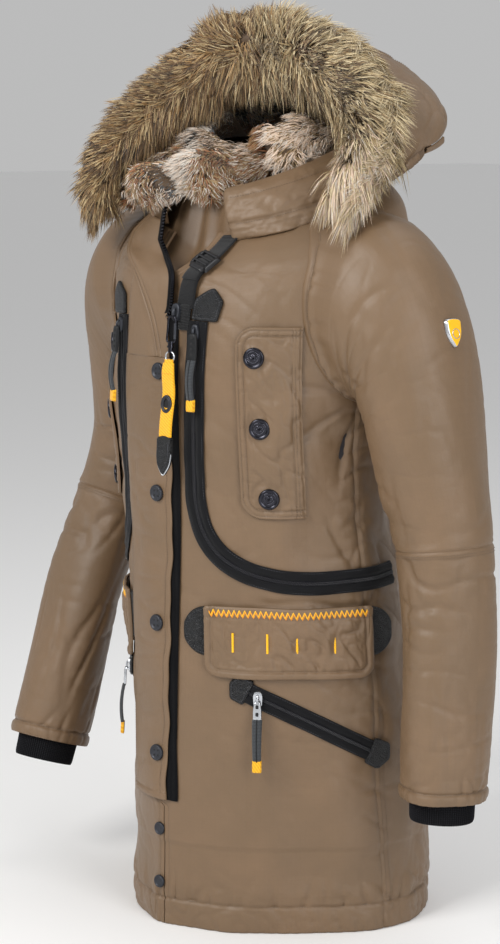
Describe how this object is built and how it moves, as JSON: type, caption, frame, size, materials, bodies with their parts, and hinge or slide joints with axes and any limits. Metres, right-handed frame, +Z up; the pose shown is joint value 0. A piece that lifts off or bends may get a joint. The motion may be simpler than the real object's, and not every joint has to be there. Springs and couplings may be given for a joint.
{
  "type": "hooded winter parka",
  "caption": "Hip-length hooded winter parka with fur trim, storm placket, snap flaps, zip pockets and hinged sleeves, standing open at hem, neck and cuffs.",
  "frame": {"origin": "plane of the hem, on the centre plane between the two side seams", "axes": "+Z up from hem to hood, front of the coat towards -Y, wearer's left towards +X"},
  "size_m": [0.673, 0.374, 1.0446],
  "materials": {
    "shell_fabric": "smooth satin woven polyamide, khaki tan",
    "lining_fabric": "black polyester lining",
    "fur": "long guard hair, cream with brown tips",
    "short_fur": "short mixed brown and grey fur",
    "knit": "black ribbed knit",
    "zip_tape": "black woven tape and coil",
    "leather": "black pebbled leather",
    "webbing_yellow": "yellow ribbed webbing",
    "webbing_black": "black ribbed webbing",
    "puller_rubber": "grey rubberised webbing",
    "black_metal": "black lacquer",
    "grey_metal": "gunmetal, semi-matt",
    "black_plastic": "black moulded plastic"
  },
  "bodies": {
    "body": {"back_panel": "shell_fabric", "front_panel_left": "shell_fabric", "front_panel_right": "shell_fabric", "body_lining": "lining_fabric", "collar": "shell_fabric", "placket_lapel": "shell_fabric", "hem_stud_1": "black_metal", "hem_stud_2": "black_metal", "zip_tape_left": "zip_tape", "zip_tape_right": "zip_tape", "carry_strap": "webbing_black", "chest_zip_left": "zip_tape", "chest_zip_patch_left": "leather", "hip_leather_left": "leather", "pocket_zip_left": "zip_tape", "pocket_leather_start_left": "leather", "pocket_leather_end_left": "leather", "chest_zip_right": "zip_tape", "chest_zip_patch_right": "leather", "hip_leather_right": "leather", "pocket_zip_right": "zip_tape", "pocket_leather_start_right": "leather", "pocket_leather_end_right": "leather"},
    "hood": {"hood_shell": "shell_fabric", "hood_fur_lining": "short_fur", "fur_ruff": "fur"},
    "placket": {"storm_placket": "shell_fabric", "placket_stud_1": "black_metal", "placket_stud_2": "black_metal", "placket_stud_3": "black_metal", "placket_stud_4": "black_metal"},
    "main_slider": {"main_slider": "black_metal"},
    "snap_hook": {"snap_hook": "black_metal"},
    "pull_strap": {"pull_strap": "webbing_yellow"},
    "strap_buckle": {"strap_buckle": "black_plastic"},
    "chest_slider_left": {"chest_slider_left": "black_metal"},
    "chest_puller_left": {"chest_puller_left": "puller_rubber"},
    "chest_flap_left": {"chest_flap_left": "shell_fabric", "chest_stud_left_1": "black_metal", "chest_stud_left_2": "black_metal", "chest_stud_left_3": "black_metal"},
    "hip_flap_left": {"hip_flap_left": "shell_fabric"},
    "pocket_slider_left": {"pocket_slider_left": "grey_metal"},
    "pocket_puller_left": {"pocket_puller_left": "puller_rubber"},
    "sleeve_upper_left": {"sleeve_upper_left": "shell_fabric", "badge": "webbing_yellow"},
    "sleeve_lower_left": {"sleeve_lower_left": "shell_fabric", "knit_cuff_left": "knit"},
    "chest_slider_right": {"chest_slider_right": "black_metal"},
    "chest_puller_right": {"chest_puller_right": "puller_rubber"},
    "chest_flap_right": {"chest_flap_right": "shell_fabric", "chest_stud_right_1": "black_metal", "chest_stud_right_2": "black_metal", "chest_stud_right_3": "black_metal"},
    "hip_flap_right": {"hip_flap_right": "shell_fabric"},
    "pocket_slider_right": {"pocket_slider_right": "grey_metal"},
    "pocket_puller_right": {"pocket_puller_right": "puller_rubber"},
    "sleeve_upper_right": {"sleeve_upper_right": "shell_fabric"},
    "sleeve_lower_right": {"sleeve_lower_right": "shell_fabric", "knit_cuff_right": "knit"}
  },
  "joints": [
    {"name": "hood_fold", "type": "hinge", "parent": "body", "child": "hood", "pos_m": [0, 0.142, 0.906], "axis": [-1, 0, 0], "range_deg": [0, 22]},
    {"name": "placket_open", "type": "hinge", "parent": "body", "child": "placket", "pos_m": [-0.04881, -0.14686, 0.40142], "axis": [0, 0, -1], "range_deg": [0, 90]},
    {"name": "main_zip_slide", "type": "slide", "parent": "body", "child": "main_slider", "axis": [-0.0217, -0.0081, -0.9997], "range_m": [0, 0.536]},
    {"name": "hook_swing", "type": "hinge", "parent": "main_slider", "child": "snap_hook", "pos_m": [0.04386, -0.15113, 0.70112], "axis": [-0.9865, -0.1636, 0], "range_deg": [0, 70]},
    {"name": "strap_swing", "type": "hinge", "parent": "snap_hook", "child": "pull_strap", "pos_m": [0.04461, -0.15562, 0.65132], "axis": [-0.9865, -0.1636, 0], "range_deg": [0, 60]},
    {"name": "buckle_slide", "type": "slide", "parent": "body", "child": "strap_buckle", "axis": [0.0865, -0.7541, -0.651], "range_m": [-0.012, 0.015]},
    {"name": "chest_zip_slide_left", "type": "slide", "parent": "body", "child": "chest_slider_left", "axis": [-0.0198, -0.0129, -0.9997], "range_m": [0, 0.181]},
    {"name": "chest_puller_swing_left", "type": "hinge", "parent": "chest_slider_left", "child": "chest_puller_left", "pos_m": [0.06928, -0.14379, 0.68448], "axis": [-0.9618, -0.2736, 0], "range_deg": [0, 90]},
    {"name": "chest_flap_open_left", "type": "hinge", "parent": "body", "child": "chest_flap_left", "pos_m": [0.16664, -0.06681, 0.58669], "axis": [0, 0, 1], "range_deg": [0, 45]},
    {"name": "hip_flap_lift_left", "type": "hinge", "parent": "body", "child": "hip_flap_left", "pos_m": [0.14456, -0.06884, 0.37882], "axis": [-0.6542, -0.7563, 0], "range_deg": [0, 80]},
    {"name": "pocket_zip_travel_left", "type": "hinge", "parent": "body", "child": "pocket_slider_left", "pos_m": [0.2214, 0.2566, 0.8413], "axis": [0.4786, 0.1599, 0.8633], "range_deg": [0, 23.6]},
    {"name": "pocket_puller_swing_left", "type": "hinge", "parent": "pocket_slider_left", "child": "pocket_puller_left", "pos_m": [0.12107, -0.09398, 0.27141], "axis": [-0.7508, -0.6606, 0], "range_deg": [0, 85]},
    {"name": "shoulder_left", "type": "hinge", "parent": "body", "child": "sleeve_upper_left", "pos_m": [0.166, 0.01, 0.832], "axis": [0, -1, 0], "range_deg": [0, 20]},
    {"name": "elbow_left", "type": "hinge", "parent": "sleeve_upper_left", "child": "sleeve_lower_left", "pos_m": [0.28018, -0.01497, 0.45333], "axis": [-1, 0, 0], "range_deg": [0, 55]},
    {"name": "chest_zip_slide_right", "type": "slide", "parent": "body", "child": "chest_slider_right", "axis": [0.0198, -0.0129, -0.9997], "range_m": [0, 0.181]},
    {"name": "chest_puller_swing_right", "type": "hinge", "parent": "chest_slider_right", "child": "chest_puller_right", "pos_m": [-0.06928, -0.14379, 0.68448], "axis": [-0.9618, 0.2736, 0], "range_deg": [0, 90]},
    {"name": "chest_flap_open_right", "type": "hinge", "parent": "body", "child": "chest_flap_right", "pos_m": [-0.16664, -0.06681, 0.58669], "axis": [0, 0, -1], "range_deg": [0, 45]},
    {"name": "hip_flap_lift_right", "type": "hinge", "parent": "body", "child": "hip_flap_right", "pos_m": [-0.14456, -0.06884, 0.37882], "axis": [-0.6542, 0.7563, 0], "range_deg": [0, 45]},
    {"name": "pocket_zip_travel_right", "type": "hinge", "parent": "body", "child": "pocket_slider_right", "pos_m": [-0.2214, 0.2566, 0.8413], "axis": [0.4786, -0.1599, -0.8633], "range_deg": [0, 23.6]},
    {"name": "pocket_puller_swing_right", "type": "hinge", "parent": "pocket_slider_right", "child": "pocket_puller_right", "pos_m": [-0.12107, -0.09398, 0.27141], "axis": [-0.7508, 0.6606, 0], "range_deg": [0, 85]},
    {"name": "shoulder_right", "type": "hinge", "parent": "body", "child": "sleeve_upper_right", "pos_m": [-0.166, 0.01, 0.832], "axis": [0, 1, 0], "range_deg": [0, 20]},
    {"name": "elbow_right", "type": "hinge", "parent": "sleeve_upper_right", "child": "sleeve_lower_right", "pos_m": [-0.2781, -0.03364, 0.46882], "axis": [-1, 0, 0], "range_deg": [0, 55]}
  ]
}
